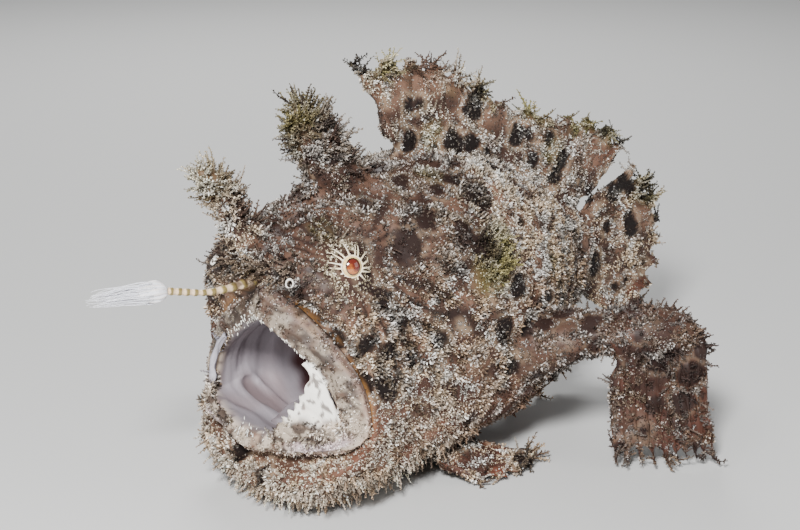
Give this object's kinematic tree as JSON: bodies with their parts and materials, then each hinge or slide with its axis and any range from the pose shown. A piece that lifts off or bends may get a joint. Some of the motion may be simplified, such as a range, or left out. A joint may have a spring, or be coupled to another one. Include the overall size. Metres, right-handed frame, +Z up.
{
  "type": "frogfish",
  "caption": "Hairy frogfish resting on its chin and hand-like fins, mouth wide open, a thin lure rod on the snout and ragged skin tufts all over.",
  "frame": {"origin": "middle of the footprint, on the floor it rests on", "axes": "+Z up, head towards -X, the fish's left side towards -Y, tail towards +X"},
  "size_m": [0.1896, 0.122, 0.1021],
  "materials": {
    "skin": "matt skin, tan to brown, under a dense coat of pale forked spinules",
    "fin_membrane": "matt skin over raised rays, tan with dark brown spots",
    "mouth_lining": "smooth moist skin, greyish lilac",
    "lure_rod": "satin skin, olive and cream bands",
    "lure": "translucent moist skin, whitish",
    "eye": "wet and glossy, pale gold ring round a dark red pupil"
  },
  "bodies": {
    "root": {"head": "skin", "lower_jaw": "skin", "torso": "skin", "tail": "skin", "tongue": "mouth_lining", "illicium": "lure_rod", "esca": "lure", "second_dorsal_spine": "skin", "third_dorsal_spine": "skin", "soft_dorsal_fin": "fin_membrane", "caudal_fin": "fin_membrane", "anal_fin": "fin_membrane", "eye_left": "eye", "pectoral_arm_left": "skin", "pectoral_fin_left": "fin_membrane", "pelvic_fin_left": "fin_membrane", "eye_right": "eye", "pectoral_arm_right": "skin", "pectoral_fin_right": "fin_membrane", "pelvic_fin_right": "fin_membrane"}
  },
  "joints": []
}
